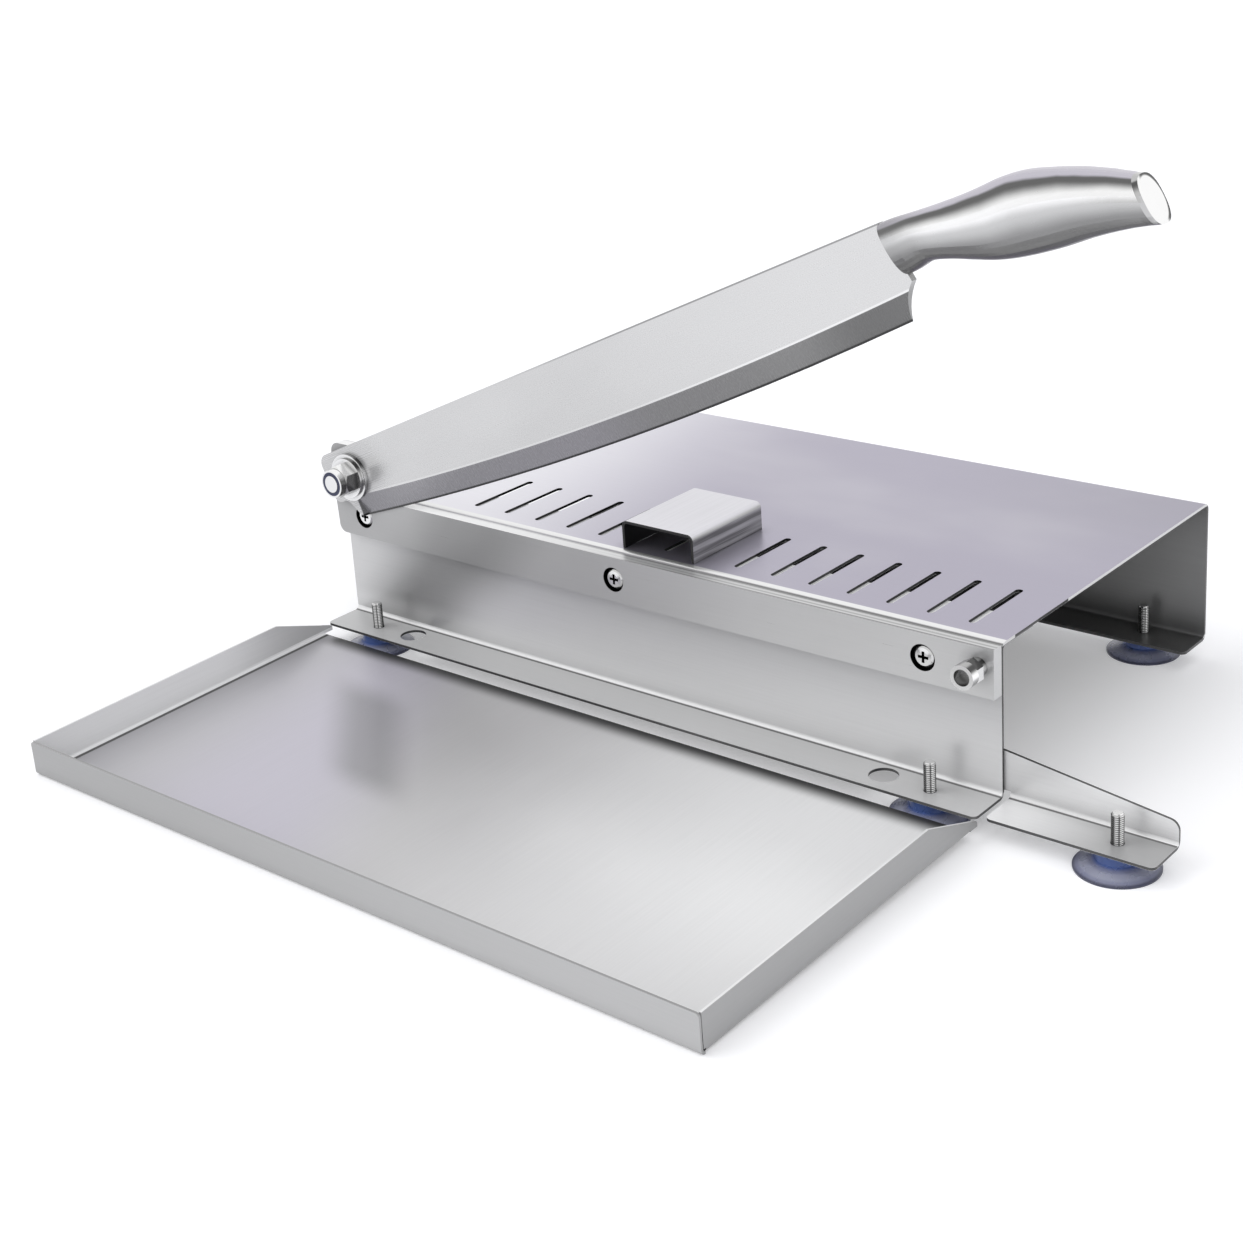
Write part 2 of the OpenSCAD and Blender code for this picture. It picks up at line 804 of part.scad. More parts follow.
// A foot's stud with its head, which is moulded into the cup
module stud_blank(x, y) {
    head_top = cup_top - stud_head_h;
    translate([x, y, 0]) {
        translate([0, 0, head_top - stud_head_h])
            cylinder(d = stud_head_d, h = stud_head_h);
        translate([0, 0, head_top - over])
            cylinder(d = stud_d, h = foot_h + stud_rise - head_top + over - stud_chamfer);
    }
}

module suction_cup(x, y) {
    color("steelblue")
        in_frame()
            difference() {
                translate([x, y, 0])
                    rotate_extrude()
                        polygon([[0, suction_h], [cup_d / 2 - rim_w, 0], [cup_d / 2, 0], [cup_d / 2, rim_t],
                                 [hub_d / 2, skirt_h], [hub_d / 2 - cup_hub_taper, cup_top],
                                 [0, cup_top]]);
                stud_blank(x, y);
            }
}

module foot_stud(x, y) {
    color("gainsboro")
        in_frame() {
            stud_blank(x, y);
            translate([x, y, foot_h + stud_rise - stud_chamfer])
                cylinder(d1 = stud_d, d2 = stud_d - 2 * stud_chamfer, h = stud_chamfer);
        }
}

// Outline of the blade's tail, full thickness, from the tail's end to the bevel's shoulder
module tail_outline() {
    slope_start = tail_u / 2;
    outline = [[-tail_u, spine_v],
               [-tail_u, -tail_v],
               [-slope_start, -tail_v],
               [shoulder_u - over, -tip_v],
               [shoulder_u, -tip_v],
               [shoulder_u + over, spine_v]];
    polygon(rounded(outline, [tail_corner_r, tail_corner_r, slope_r, 0, 0, 0]));
}

// Outline of the blade from the shoulder to the bolster, before its edge is cut to an arc
module working_outline() {
    deep = heel_v + belly + over;
    slant = bolster_slant / (spine_v + bolster_v);
    difference() {
        polygon([[shoulder_u, spine_v], [shoulder_u, -deep],
                 [bolster_bottom_u + slant * (deep - bolster_v), -deep],
                 [bolster_top_u, spine_v]]);
        translate([choil_u, choil_v])
            circle(choil_r, $fn = 180);
    }
}

// Solid of revolution whose rim is the cutting edge and whose front side is the bevel
module ground_disc() {
    translate([edge_centre[0], blade_back, edge_centre[1]])
        rotate([90, 0, 0])
            rotate_extrude($fn = edge_sides)
                polygon([[0, 0], [edge_r, 0], [edge_r, edge_t], [edge_r - bevel_w, blade_t], [0, blade_t]]);
}

module blade() {
    color("whitesmoke")
        in_frame()
            on_blade()
                difference() {
                    union() {
                        along_y(blade_front, blade_back)
                            tail_outline();
                        intersection() {
                            along_y(blade_front, blade_back)
                                working_outline();
                            ground_disc();
                        }
                        tang();
                    }
                    rod_y(0, 0, pivot_d + 2 * pivot_clear, blade_front - over, blade_back + over);
                }
}

// Short tang that the handle's shell closes round
module tang(grow = 0) {
    start = bolster_bottom_u - bolster_slant - over;
    translate([start, blade_front - grow, tang_v - tang_h / 2 - grow])
        cube([tang_l + over + grow, blade_t + 2 * grow, tang_h + 2 * grow]);
}

// Middle of the handle's section at share t, and its half height and half width
function mid_v(t) = handle_mid_v - (handle_mid_v + handle_droop) * share_at(t, 1);
function half_h(t) = handle_h / 2 * share_at(t, 2);
function half_w(t) = handle_w / 2 * share_at(t, 3);

// One point of a section, a rounded oval that is squarer than an ellipse
function oval(a, w, h) = [w * sign(cos(a)) * pow(abs(cos(a)), 2 / handle_square),
                          h * sign(sin(a)) * pow(abs(sin(a)), 2 / handle_square)];

// The bolster's slant eases out to the end cap's own lean
function lean(t) = bolster_slant / (spine_v + bolster_v) * (1 - t) + end_lean_share * t;

function section(t) =
    [for (i = [0 : handle_sides - 1])
        let (p = oval(360 * i / handle_sides, half_w(t), half_h(t)),
             u = bolster_bottom_u - bolster_slant / 2 + handle_l * t - lean(t) * (p[1]))
        [u, (blade_front + blade_back) / 2 + p[0], mid_v(t) + p[1]]];

// Solid through a run of sections
module loft(shares) {
    n = handle_sides;
    rings = [for (t = shares) section(t)];
    last = len(rings) - 1;
    faces = concat(
        [[for (i = [0 : n - 1]) i]],
        [for (k = [0 : last - 1], i = [0 : n - 1])
            [k * n + i, (k + 1) * n + i, (k + 1) * n + (i + 1) % n, k * n + (i + 1) % n]],
        [[for (i = [n - 1 : -1 : 0]) last * n + i]]);
    polyhedron([for (r = rings, p = r) p], faces, convexity = 6);
}

cap_share = 1 - cap_t / handle_l;

module handle() {
    rows = (len(handle_shares) - 1) * handle_steps;
    color("lightgray")
        in_frame()
            on_blade()
                difference() {
                    loft([for (i = [0 : rows]) cap_share * i / rows]);
                    tang(tang_clear);
                }
}

module handle_end_cap() {
    color("white")
        in_frame()
            on_blade()
                loft([cap_share, (1 + cap_share) / 2, 1]);
}

// Outline of a side wall in Y and Z, above its bend, with the tongue behind the floor
module tray_side_outline() {
    tray_end = tray_d + tray_tongue;
    outline = [[wall_start, tray_outer_r],
               [wall_start, tray_h],
               [tray_end - tray_slope_l, tray_h],
               [tray_end, tray_tail_h],
               [tray_end, tongue_low],
               [tray_d, tongue_low],
               [tray_d, tray_outer_r]];
    polygon(rounded(outline, [0, 0, tray_corner_r, tongue_corner_r, 0, 0, 0]));
}

// A bend along X or Y with the foot of the wall that stands on it
module tray_bend(at, side) {
    bend([at + (side > 0 ? -1 : 1) * tray_outer_r, tray_outer_r], tray_bend_r, tray_t, side, -1);
    translate([side > 0 ? at - tray_t : at, tray_outer_r])
        square([tray_t, over]);
}

// The pan is drawn flat from its front left corner
module tray_flat() {
    for (x = [0, tray_l - tray_t])
        along_x(x, x + tray_t)
            tray_side_outline();
    along_y(floor_start, tray_d) {
        tray_bend(0, -1);
        tray_bend(tray_l, 1);
        translate([tray_outer_r, 0])
            square([tray_l - 2 * tray_outer_r, tray_t]);
    }
    along_x(0, tray_l)
        tray_bend(0, -1);
    along_x(tray_outer_r, tray_l - tray_outer_r) {
        tray_bend(0, -1);
        translate([tray_outer_r, 0])
            square([tray_seam + over, tray_t]);
    }
    along_y(0, tray_t)
        polygon(rounded([[0, tray_outer_r], [0, tray_h], [tray_l, tray_h], [tray_l, tray_outer_r]],
                        [0, seam_corner_r, seam_corner_r, 0]));
}

module tray() {
    color("lightsteelblue")
        in_frame()
            translate([tray_left_x, tray_front_y, 0])
                rotate([tray_tilt, 0, 0])
                    tray_flat();
}

module length_stop() {
    inner_top = block_h - block_outer_r;
    color("silver")
        in_frame()
            translate([block_x, 0, table_h]) {
                along_y(block_setback, block_setback + block_l) {
                    square([block_t, inner_top]);
                    translate([block_w - block_t, 0])
                        square([block_t, inner_top]);
                    bend([block_outer_r, inner_top], block_bend_r, block_t, -1, 1);
                    bend([block_w - block_outer_r, inner_top], block_bend_r, block_t, 1, 1);
                    translate([block_outer_r, block_h - block_t])
                        square([block_w - 2 * block_outer_r, block_t]);
                }
                for (x = [0, block_w - block_t])
                    translate([x, tab_start, -tab_depth])
                        cube([block_t, tab_end - tab_start, tab_depth + block_bend_r]);
            }
}

table();
backing_angle();
outrigger();
fixed_bar();
bar_screws();
bar_screw_washers();
bar_screw_nuts();
pivot_bolt();
pivot_head_washer();
pivot_washer();
pivot_disc_spring();
pivot_nut();
pivot_nut_insert();
stop_stud();
stop_sleeve();
stop_nut();
suction_cup(left_x, front_y);  // cup_front_left
suction_cup(right_x, front_y);  // cup_front_right
suction_cup(left_x, rear_y);  // cup_rear_left
suction_cup(right_x, rear_y);  // cup_rear_right
suction_cup(outrigger_x, outrigger_y);  // cup_outrigger
foot_stud(left_x, front_y);  // stud_front_left
foot_stud(right_x, front_y);  // stud_front_right
foot_stud(left_x, rear_y);  // stud_rear_left
foot_stud(right_x, rear_y);  // stud_rear_right
foot_stud(outrigger_x, outrigger_y);  // stud_outrigger
blade();
handle();
handle_end_cap();
tray();
length_stop();
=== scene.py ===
import json
import math

import bpy
from mathutils import Matrix, Vector

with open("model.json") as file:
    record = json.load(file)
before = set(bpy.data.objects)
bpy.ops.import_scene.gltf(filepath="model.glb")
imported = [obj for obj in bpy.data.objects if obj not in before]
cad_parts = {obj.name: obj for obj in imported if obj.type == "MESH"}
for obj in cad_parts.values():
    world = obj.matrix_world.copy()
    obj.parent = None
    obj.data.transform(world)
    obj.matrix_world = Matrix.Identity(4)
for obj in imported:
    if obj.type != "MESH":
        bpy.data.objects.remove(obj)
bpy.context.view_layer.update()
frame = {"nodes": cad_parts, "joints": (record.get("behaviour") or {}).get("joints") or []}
nodes = frame["nodes"]
mm = 0.001

# Places that several pieces' looks refer to, in mm from the table's left front edge on the bench
model = {
    "origin": (261.048, -1.132),
    "screwX": (21.8, 211.8, 401.8),
    "screwZ": 76.8,
    "pivot": (19.2, 102.7),
    "stop": (431.8, 79.4),
    "footEdge": (10.6, 11.9, 0.1),  # heights of the foot flanges' cut edges, which carry painted shade, and how softly they end
    "linesGrow": (90, 330),  # where the front's painted shade lines grow from their least share to the full
    "linesLeast": 0.25,
    "patchFoot": 30,  # the painted shade patch on the front slants from this height
    "patchSlant": 0.8,
}

# Shares of a normal between which a face comes to count as turned one way
broad = (0.45, 0.9)
square = (0.5, 0.8)
upright = (0.4, 0.6)
endOn = (0.6, 0.85)

# Middle, half width and softness of the painted highlight line and the painted shade line along a bend,
# by how far the bend looks up
bends = {"pale": (0.4, 0.36, 0.06), "dark": (0.93, 0.055, 0.02), "frontFrom": (0.2, 0.4)}


# Linear colour of a screen colour given in 0 to 255, where one value is a grey
def screen(*levels):
    levels = levels if len(levels) == 3 else levels * 3
    return tuple(((v / 255 + 0.055) / 1.055) ** 2.4 for v in levels)


# Shader maths: a wrapped socket that sums, products and comparisons can be written with
class Value:
    def __init__(self, tree, socket):
        self.tree, self.socket = tree, socket

    def make(self, kind, settings=None, inputs=None, out=0):
        return makeNode(self.tree, kind, settings, inputs, out)

    def math(self, operation, *others):
        return self.make("ShaderNodeMath", {"operation": operation}, dict(enumerate([self, *others])))

    def mathAfter(self, operation, first):
        return self.make("ShaderNodeMath", {"operation": operation}, {0: first, 1: self})

    def __add__(self, other):
        return self.math("ADD", other)

    def __sub__(self, other):
        return self.math("SUBTRACT", other)

    def __mul__(self, other):
        return self.math("MULTIPLY", other)

    def __truediv__(self, other):
        return self.math("DIVIDE", other)

    def __radd__(self, other):
        return self.mathAfter("ADD", other)

    def __rsub__(self, other):
        return self.mathAfter("SUBTRACT", other)

    def __rmul__(self, other):
        return self.mathAfter("MULTIPLY", other)

    def size(self):
        return self.math("ABSOLUTE")

    def most(self, other):
        return self.math("MAXIMUM", other)

    def least(self, other):
        return self.math("MINIMUM", other)

    # Rises from 0 to 1 as the value goes from low to high
    def ramp(self, low, high):
        inputs = {"Value": self, "From Min": low, "From Max": high}
        return self.make("ShaderNodeMapRange", {"interpolation_type": "SMOOTHSTEP"}, inputs)

    # 1 inside a band about the middle, easing to 0 at its sides
    def band(self, middle, half, soft):
        return (self - middle).size().upTo(half, soft)

    # 1 between low and high, easing to 0 over the soft width outside them
    def within(self, low, high, soft):
        return self.ramp(low - soft, low) * self.upTo(high, soft)

    # 1 up to a limit, easing to 0 over the soft width beyond it
    def upTo(self, limit, soft):
        return 1 - self.ramp(limit, limit + soft)

    # Straight pieces from point to point, each point a place and a value
    def through(self, *points):
        total = points[0][1]
        for (start, low), (end, high) in zip(points, points[1:]):
            inputs = {"Value": self, "From Min": start, "From Max": end, "To Max": high - low}
            total = self.make("ShaderNodeMapRange", {"clamp": True}, inputs) + total
        return total

    # This value where the share is 0, the other where it is 1
    def towards(self, other, share):
        return self * (1 - share) + other * share


def makeNode(tree, kind, settings=None, inputs=None, out=0):
    node = tree.nodes.new(kind)
    for key, value in (settings or {}).items():
        setattr(node, key, value)
    for key, value in (inputs or {}).items():
        socket = node.inputs[key]
        if isinstance(value, Value):
            tree.links.new(value.socket, socket)
        elif isinstance(value, (tuple, list)) and len(value) == 3 and socket.type == "RGBA":
            socket.default_value = (*value, 1)
        else:
            socket.default_value = value
    return Value(tree, node.outputs[out]) if len(node.outputs) else None


# A material under construction, with the coordinates of the object that carries it
class Surface:
    def __init__(self, name):
        self.material = bpy.data.materials.new(name)
        self.material.use_nodes = True
        self.tree = self.material.node_tree
        self.tree.nodes.clear()
        self.place = self.make("ShaderNodeTexCoord", out="Object")
        normal = self.make("ShaderNodeTexCoord", out="Normal")
        self.x, self.y, self.z = self.split(self.place)
        self.normalX, self.normalY, self.normalZ = self.split(normal)

    def make(self, kind, settings=None, inputs=None, out=0):
        return makeNode(self.tree, kind, settings, inputs, out)

    def split(self, vector):
        node = self.make("ShaderNodeSeparateXYZ", None, {0: vector}).socket.node
        return [Value(self.tree, output) for output in node.outputs]

    def join(self, x, y, z):
        return self.make("ShaderNodeCombineXYZ", None, {0: x, 1: y, 2: z})

    def vector(self, operation, inputs):
        return self.make("ShaderNodeVectorMath", {"operation": operation}, inputs)

    # Noise of about the given number of grains per unit of the place along X, Y and Z
    def noise(self, scale, detail=3.0, rough=0.5, place=None):
        spot = self.vector("MULTIPLY", {0: place or self.place, 1: scale})
        inputs = {"Vector": spot, "Scale": 1.0, "Detail": detail, "Roughness": rough}
        return self.make("ShaderNodeTexNoise", {"noise_dimensions": "3D"}, inputs, "Fac")

    # The finer noise that stands for the strokes of a brush or a grinding belt
    def strokes(self, scale, place=None):
        return self.noise(scale, 4.0, 0.6, place)

    def mix(self, factor, low, high):
        return self.make("ShaderNodeMix", {"data_type": "RGBA"}, {0: factor, 6: low, 7: high}, 2)

    # Place in mm from the table's left front edge on the bench
    def fromTable(self):
        ox, oy = model["origin"]
        return self.x / mm + ox, self.y / mm + oy, self.z / mm

    # 1 in the open, falling to 0 where other faces lie within the distance
    def openness(self, distance):
        return self.make("ShaderNodeAmbientOcclusion", {"samples": 6}, {"Distance": distance * mm}, "AO")

    # Lays each colour over the ones before it by its own mask, and by a share where one is given
    def layers(self, colour, *masked):
        for mask, over, *share in masked:
            colour = self.mix(mask * share[0] if share else mask, colour, over)
        return colour

    def bump(self, height, distance):
        inputs = {"Height": height, "Distance": distance, "Strength": 1.0}
        return self.make("ShaderNodeBump", None, inputs)

    def finish(self, **inputs):
        named = {key.replace("_", " "): value for key, value in inputs.items()}
        shader = self.make("ShaderNodeBsdfPrincipled", None, named)
        self.make("ShaderNodeOutputMaterial", None, {0: shader})
        return self.material


def dress(material, *names):
    for name in names:
        data = nodes[name].data
        data.materials.clear()
        data.materials.append(material)


# Layers that a value passes through as it rises: where each starts, where it is full, and its tone
def bands(value, look, rows):
    return [(value.ramp(low, high), look[tone]) for low, high, tone in rows]


def reach(across, rise):
    return (across * across + rise * rise).math("SQRT")


# Distance in mm from an axis that runs along Y
def fromAxis(x, z, at):
    return reach(x - at[0], z - at[1])


def nearestScrew(x, z):
    left, middle, right = [fromAxis(x, z, (at, model["screwZ"])) for at in model["screwX"]]
    return left.least(middle).least(right)


# The painted shade patch, standing for a dark reflection, that slants across the front wall and the bar
def slantPatch(x, z, span):
    return (x - (z - model["patchFoot"]) * model["patchSlant"]).band(*span)


# Share of the painted shade lines along the front at a place
def lineShare(x):
    least = model["linesLeast"]
    return least + x.ramp(*model["linesGrow"]) * (1 - least)


# The painted highlight line and the painted shade line along the bend from an upright sheet to its foot
def bendLines(s):
    pale = s.normalZ.band(*bends["pale"]) * (0 - s.normalY).ramp(*bends["frontFrom"])
    return pale, s.normalZ.band(*bends["dark"])


# Metal whose grain or cloud varies its tone, roughness and height, with painted shade darkening its
# colour near other faces
def brushed(s, colour, grain, look, metal=1.0, sheltered=1.0):
    shadow = (1 - s.openness(look["shadowReach"])) * look["shadow"] * sheltered
    amount = (1 - shadow) * (1 + (grain - 0.5) * look["grainTone"])
    tone = s.vector("SCALE", {0: colour, "Scale": amount})
    roughness = look["roughness"] + (grain - 0.5) * look["roughnessRange"]
    normal = s.bump(grain, look["bump"])
    return s.finish(Base_Color=tone, Metallic=metal, Roughness=roughness, Normal=normal)


# The finish, and the reach and depth of the painted shade near other faces, that all the bent sheet
# pieces share
steelLook = {
    "roughness": 0.33,
    "roughnessRange": 0.10,
    "grainTone": 0.10,
    "bump": 0.00002,
    "shadowReach": 9,
    "shadow": 0.55,
}

# The tones, which paint reflection, light and shade by facing and place, and the places in mm from the
# table's left front edge where each begins and is full
sheetLook = {
    **steelLook,
    "grain": (14, 900, 900),
    "cloud": (7, 11, 9),
    "metal": 0.85,
    "top": screen(175, 171, 186),
    "topLight": screen(233, 232, 238),
    "topFar": screen(163, 160, 172),
    "front": screen(202, 202, 203),
    "frontDark": screen(148),
    "frontLeft": screen(206),
    "frontLow": screen(226),
    "flange": screen(200),
    "flangeRight": screen(202),
    "bendLight": screen(234),
    "bendDark": screen(104),
    "lipLight": screen(238),
    "lipDark": screen(132),
    "wallInside": screen(150),
    "wallInsideLow": screen(126),
    "topInside": screen(104),
    "flangeInside": screen(138),
    "slotDeep": screen(22),
    "slotShallow": screen(66),
    "cut": screen(72),
    "cutTop": screen(206),
    "footTop": (20, 30),
    "rearFrom": (150, 160),
    "patch": (60, 10, 56),
    "leftEnd": (5, 60),
    "lowWall": (20, 64),
    "lowAlong": (60, 120),
    "lightUntil": (70, 250),
    "farAlong": (260, 440),
    "farBack": (90, 215),
    "flangeAlong": (150, 430),
    "lipFrom": (86, 88),
    "lipLine": (1.9, 4.7, 0.5),
    "lipFace": (1.5, 2.2),
    "lipTurn": (0.2, 0.4),
    "cloudFrom": (0.45, 0.8),
    "insideFrom": (40, 60),
    "insideWall": (15, 60),
    "endWall": (14, 88, 1),
    "endTop": (88.2, 88.6),
    "slotDepth": (88.6, 89.9, 0.1),
    "slotLength": (13, 63, 1),
    "slotStep": (34, 35),  # where the backing angle's flange ends under the slots
}


def tableMetal(look):
    s = Surface("tableSteel")
    x, y, z = s.fromTable()
    up, down = s.normalZ.ramp(*broad), (0 - s.normalZ).ramp(*broad)
    front, back = (0 - s.normalY).ramp(*broad), s.normalY.ramp(*broad)
    side = s.normalX.size().ramp(*square)
    edge = 1 - s.normalZ.size().ramp(*upright)
    low = 1 - z.ramp(*look["footTop"])
    rear = y.ramp(*look["rearFrom"])
    flange = up * low * (1 - rear)
    lip = z.ramp(*look["lipFrom"])
    lipFace = (1 - y.ramp(*look["lipFace"])) * s.normalZ.ramp(*look["lipTurn"])
    slots = edge * z.within(*look["slotDepth"]) * y.within(*look["slotLength"])
    pale, dark = bendLines(s)
    colour = s.layers(
        # Painted reflection tones of the front wall, lighter at its left end, with the painted shade
        # patch and painted light low down near the foot bend
        look["front"],
        (front * (1 - x.ramp(*look["leftEnd"])), look["frontLeft"]),
        (front * slantPatch(x, z, look["patch"]), look["frontDark"], 0.95),
        (front * (1 - z.ramp(*look["lowWall"])) * x.ramp(*look["lowAlong"]), look["frontLow"], 0.8),
        # Painted reflection tones of the top and the flanges, the top lighter towards the left and
        # darker far back
        (up, look["top"]),
        (up * (1 - (x + y * 0.25).ramp(*look["lightUntil"])), look["topLight"]),
        (up * x.ramp(*look["farAlong"]) * y.ramp(*look["farBack"]), look["topFar"], 0.8),
        (flange, look["flange"]),
        (flange * x.ramp(*look["flangeAlong"]), look["flangeRight"]),
        # Painted highlight and painted shade lines along the foot bends, a painted highlight along the
        # top front bend, and painted shade in the groove between that bend and the bar
        (low * pale, look["bendLight"]),
        (low * dark * (1 - rear), look["bendDark"]),
        (up * lip * y.within(*look["lipLine"]), look["lipLight"]),
        (lip * lipFace * lineShare(x), look["lipDark"]),
        # Painted shade on the faces inside the table
        (down * z.ramp(*look["insideFrom"]), look["topInside"]),
        (front * rear, s.mix(z.ramp(*look["insideWall"]), look["wallInsideLow"], look["wallInside"])),
        (back * (1 - rear), look["wallInsideLow"]),
        (up * low * rear, look["flangeInside"]),
        # Painted shade on the cut edges of the feet and the end walls, and a painted highlight along the
        # end walls' top edge
        (edge * low * z.within(*model["footEdge"]), look["cut"]),
        (side * z.within(*look["endWall"]), look["cut"]),
        (side * z.ramp(*look["endTop"]), look["cutTop"]),
        # Painted shade in the slots, lighter where the backing angle's flange lies below
        (slots, s.mix(y.ramp(*look["slotStep"]), look["slotShallow"], look["slotDeep"])),
        (s.noise(look["cloud"]).ramp(*look["cloudFrom"]), look["bendLight"], 0.16),
    )
    metal = look["metal"] - flange * 0.7 - front * 0.4
    sheltered = 1 - flange * 0.8 - front * (1 - rear) * 0.6
    return brushed(s, colour, s.strokes(look["grain"]), look, metal, sheltered)


dress(tableMetal(sheetLook), "table")
print("table dressed")


angleLook = {
    **steelLook,
    "grain": (14, 900, 900),
    "metal": 0.6,
    "leg": screen(126),
    "shelf": screen(228),  # the flange that shows through the slots
}


def angleMetal(look):
    s = Surface("angleSteel")
    up = s.normalZ.ramp(*broad)
    # Painted light on the upward flange that shows through the slots, and painted shade on the legs
    colour = s.mix(up, look["leg"], look["shelf"])
    return brushed(s, colour, s.strokes(look["grain"]), look, look["metal"] - up * 0.4, 1 - up)


dress(angleMetal(angleLook), "backing_angle")
print("backing angle dressed")


outriggerLook = {
    **steelLook,
    "grain": (60, 900, 900),
    "metal": 0.45,
    "web": screen(214),
    "webFar": screen(255),
    "foot": screen(250),
    "footFar": screen(172),
    "bendLight": screen(234),
    "bendDark": screen(118),
    "cut": screen(80),
    "back": screen(126),
    "far": (445, 515),
    "footEnd": (-1.5, 1),
    "webThickness": (1.55, 2.95, 0.05),
    "webTurn": (0.5, 0.7),
}


def outriggerMetal(look):
    s = Surface("outriggerSteel")
    x, y, z = s.fromTable()
    far = x.ramp(*look["far"])
    foot = s.normalZ.ramp(*broad) * (1 - y.ramp(*look["footEnd"]))
    webEdge = y.within(*look["webThickness"]) * (1 - s.normalY.size().ramp(*look["webTurn"]))
    footEdge = (1 - s.normalZ.size().ramp(*upright)) * z.within(*model["footEdge"])
    pale, dark = bendLines(s)
    # Painted reflection tones that change towards the far end, painted highlight and shade lines along
    # the bends, and painted shade on the cut edges and on faces turned back
    colour = s.layers(
        s.mix(far, look["web"], look["webFar"]),
        (foot, s.mix(far, look["foot"], look["footFar"])),
        (pale, look["bendLight"]),
        (dark, look["bendDark"]),
        (webEdge, look["cut"]),
        (footEdge, look["cut"]),
        (s.normalY.ramp(*square), look["back"]),
    )
    metal = look["metal"] - foot * 0.25
    return brushed(s, colour, s.strokes(look["grain"]), look, metal, 1 - foot * 0.7)


dress(outriggerMetal(outriggerLook), "outrigger")
print("outrigger dressed")


trayLook = {
    **steelLook,
    "grain": (900, 16, 900),
    "wallGrain": (14, 900, 900),
    "cloud": (9, 7, 9),
    "metal": 0.35,
    "shadowReach": 7,
    "shadow": 0.2,
    "lavender": screen(188, 185, 195),
    "pale": screen(234),
    "middle": screen(187, 186, 187),
    "streak": screen(118),
    "floorLeft": screen(178),
    "wallLeft": screen(168),
    "wallRight": screen(186),
    "side": screen(172),
    "sideInside": screen(254),
    "sideRear": screen(206),
    "rearShade": screen(62),
    "topFront": screen(150),
    "topSide": screen(236),
    "foldLight": screen(250),
    "foldDark": screen(84),
    "seam": screen(50),
    "leftEnd": -3,
    "frontEnd": -230.864,
    "tilt": 0.01875,
    "sideTurn": (0.4, 0.8),
    "wallAlong": (60, 430),
    "floorLeftUntil": (30, 120),
    "middleFrom": (160, 240),
    "paleFrom": (150, 380),
    "paleBack": (20, 110),
    "cloudSway": 60,  # mm by which the clouds move the edge of the painted highlight on the floor
    "streakAcross": (243, 6, 34),
    "streakBack": (96, 150, 25),
    "rearBack": (190, 203),
    "rearAlong": (14, 424, 16),
    "insideUntil": (10, 20),
    "insideBack": (120, 190),
    "wallTop": (6.5, 7),
    "frontWall": (1.2, 1.6),
    "foldStart": (2, 3),
    "foldHeight": (0.2, 3.1, 0.3),
    "foldWall": (0.9, 3.2, 0.3),
    "foldFloor": (3.2, 5.2, 0.4),
    "seamFrom": (1.3, 1.5),
}


# Left and depth are counted from the tray's own left and front ends, and height from its leaning floor
def trayMetal(look):
    s = Surface("traySteel")
    x, y, z = s.fromTable()
    left, depth = x - look["leftEnd"], y - look["frontEnd"]
    height = z - depth * look["tilt"]
    up = s.normalZ.ramp(*broad)
    front = (0 - s.normalY).ramp(*broad)
    side = s.normalX.ramp(*look["sideTurn"])
    inside = side * (1 - left.ramp(*look["insideUntil"]))
    wallTop = up * height.ramp(*look["wallTop"])
    beyondFront = depth.ramp(*look["frontWall"])
    beyondFold = depth.ramp(*look["foldStart"])
    foldLeft = height.within(*look["foldHeight"]) * left.within(*look["foldWall"]) * beyondFold
    # A painted highlight with a cloudy edge lies on the floor, and a painted shade streak runs across it
    sway = (s.noise(look["cloud"]) - 0.5) * look["cloudSway"]
    pale = (x + sway).ramp(*look["paleFrom"]) * (0.65 + depth.ramp(*look["paleBack"]) * 0.35)
    streak = (x + depth).band(*look["streakAcross"]) * depth.within(*look["streakBack"])
    # Painted reflection tones of the walls and the floor: the walls darker to the left, a lavender tint
    # on the floor, darker grey at its left and neutral grey towards the middle
    colour = s.layers(
        s.mix(x.ramp(*look["wallAlong"]), look["wallLeft"], look["wallRight"]),
        (up, look["lavender"]),
        (up * (1 - (left + depth * 0.2).ramp(*look["floorLeftUntil"])), look["floorLeft"], 0.7),
        (up * (x + depth * 0.5).ramp(*look["middleFrom"]), look["middle"]),
        # The painted shade streak, the painted highlight, and the painted shade along the floor's rear
        # edge
        (up * streak, look["streak"], 0.55),
        (up * pale, look["pale"]),
        (up * depth.ramp(*look["rearBack"]) * x.within(*look["rearAlong"]), look["rearShade"]),
        # Painted tones of the side walls, with painted light on the inner left wall, less towards its
        # rear
        (side, look["side"]),
        (inside, look["sideInside"]),
        (inside * depth.ramp(*look["insideBack"]), look["sideRear"]),
        # Painted shade along the front wall's top edge and a painted highlight along the side walls' top
        # edges, a painted highlight and a painted shade line at the left fold, and painted shade in the
        # gap behind the front wall
        (wallTop * (1 - beyondFront), look["topFront"]),
        (wallTop * beyondFront, look["topSide"]),
        (foldLeft, look["foldLight"]),
        (up * left.within(*look["foldFloor"]) * beyondFold, look["foldDark"]),
        (front * depth.ramp(*look["seamFrom"]), look["seam"]),
    )
    grain = s.strokes(look["grain"]).towards(s.strokes(look["wallGrain"]), front)
    return brushed(s, colour, grain, look, look["metal"] * (1 - inside), 1 - inside * 0.7)


dress(trayMetal(trayLook), "tray")
print("tray dressed")


